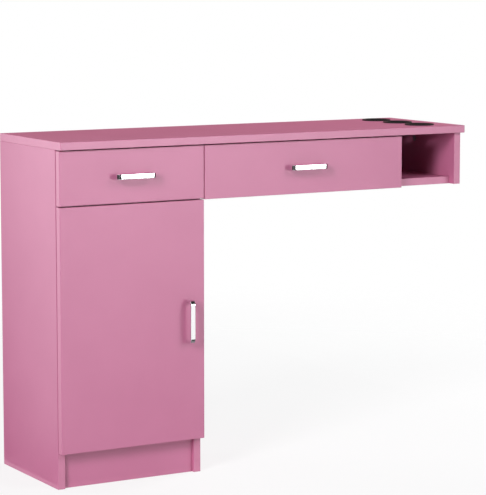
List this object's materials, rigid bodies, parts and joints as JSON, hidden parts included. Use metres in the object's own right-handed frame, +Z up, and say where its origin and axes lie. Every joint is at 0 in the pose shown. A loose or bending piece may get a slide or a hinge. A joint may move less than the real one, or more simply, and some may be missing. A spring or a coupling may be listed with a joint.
{
  "type": "wall-mounted styling station",
  "caption": "L-shaped salon styling station: pedestal cabinet with a drawer and a door, and a wall-fixed wing with a wide drawer, an open tool bay and tool holders in the worktop.",
  "frame": {"origin": "bottom centre of the overall box, on the floor", "axes": "+X runs right along the worktop, +Y towards the wall, +Z up"},
  "size_m": [1.1, 0.348, 0.793],
  "materials": {
    "pink_laminate": "satin pink melamine laminate on particle board, same-colour edge band",
    "drawer_laminate": "satin pink melamine laminate, thinner board",
    "hardboard": "painted hardboard",
    "holder_plastic": "black moulded plastic, fine texture",
    "chrome_handles": "polished chrome plate on zinc casting",
    "zinc_steel": "zinc-plated cold-rolled steel",
    "nickel_steel": "nickel-plated pressed steel",
    "zinc_fittings": "as-cast zinc alloy and zinc-plated steel",
    "screw_steel": "zinc-plated steel",
    "beech": "fluted beech, unfinished",
    "clear_rubber": "soft translucent polyurethane"
  },
  "bodies": {
    "carcass": {"top_panel": "pink_laminate", "tool_holder_front": "holder_plastic", "tool_holder_middle": "holder_plastic", "tool_holder_rear": "holder_plastic", "pedestal_left_side": "pink_laminate", "pedestal_right_side": "pink_laminate", "pedestal_bottom": "pink_laminate", "toe_kick": "pink_laminate", "pedestal_back": "hardboard", "drawer_deck": "pink_laminate", "adjustable_shelf": "pink_laminate", "shelf_pins": "nickel_steel", "wall_rail": "pink_laminate", "wing_bottom": "pink_laminate", "wing_divider": "pink_laminate", "wing_end_panel": "pink_laminate", "wing_back": "pink_laminate", "cam_locks": "zinc_fittings", "cam_bolts": "zinc_fittings", "dowels": "beech", "small_case_runners": "zinc_steel", "wide_case_runners": "zinc_steel", "case_runner_screws": "screw_steel", "hinge_plates": "nickel_steel", "hinge_arms": "nickel_steel", "hinge_plate_screws": "screw_steel"},
    "small_drawer": {"small_drawer_front": "pink_laminate", "small_drawer_left_side": "drawer_laminate", "small_drawer_right_side": "drawer_laminate", "small_drawer_back": "drawer_laminate", "small_drawer_bottom": "hardboard", "small_drawer_handle": "chrome_handles", "small_drawer_handle_screws": "screw_steel", "small_drawer_runners": "zinc_steel", "small_drawer_cam_locks": "zinc_fittings", "small_drawer_cam_bolts": "zinc_fittings", "small_drawer_screws": "screw_steel"},
    "small_middle_runner": {"small_middle_runners": "zinc_steel"},
    "wide_drawer": {"wide_drawer_front": "pink_laminate", "wide_drawer_left_side": "drawer_laminate", "wide_drawer_right_side": "drawer_laminate", "wide_drawer_back": "drawer_laminate", "wide_drawer_bottom": "hardboard", "wide_drawer_handle": "chrome_handles", "wide_drawer_handle_screws": "screw_steel", "wide_drawer_runners": "zinc_steel", "wide_drawer_cam_locks": "zinc_fittings", "wide_drawer_cam_bolts": "zinc_fittings", "wide_drawer_screws": "screw_steel"},
    "wide_middle_runner": {"wide_middle_runners": "zinc_steel"},
    "door": {"door_panel": "pink_laminate", "door_handle": "chrome_handles", "door_handle_screws": "screw_steel", "hinge_cups": "nickel_steel", "hinge_pins": "screw_steel", "hinge_cup_screws": "screw_steel", "door_bumpers": "clear_rubber"}
  },
  "joints": [
    {"name": "small_drawer_slide", "type": "slide", "parent": "carcass", "child": "small_drawer", "axis": [0, -1, 0], "range_m": [0, 0.25]},
    {"name": "small_middle_slide", "type": "slide", "parent": "carcass", "child": "small_middle_runner", "axis": [0, -1, 0], "range_m": [0, 0.125]},
    {"name": "wide_drawer_slide", "type": "slide", "parent": "carcass", "child": "wide_drawer", "axis": [0, -1, 0], "range_m": [0, 0.25]},
    {"name": "wide_middle_slide", "type": "slide", "parent": "carcass", "child": "wide_middle_runner", "axis": [0, -1, 0], "range_m": [0, 0.125]},
    {"name": "door_hinge", "type": "hinge", "parent": "carcass", "child": "door", "pos_m": [-0.5429, -0.1401, 0.36375], "axis": [0, 0, -1], "range_deg": [0, 95]}
  ],
  "couplings": [
    {"joint": "small_middle_slide", "follows": "small_drawer_slide", "ratio": 0.5},
    {"joint": "wide_middle_slide", "follows": "wide_drawer_slide", "ratio": 0.5}
  ]
}
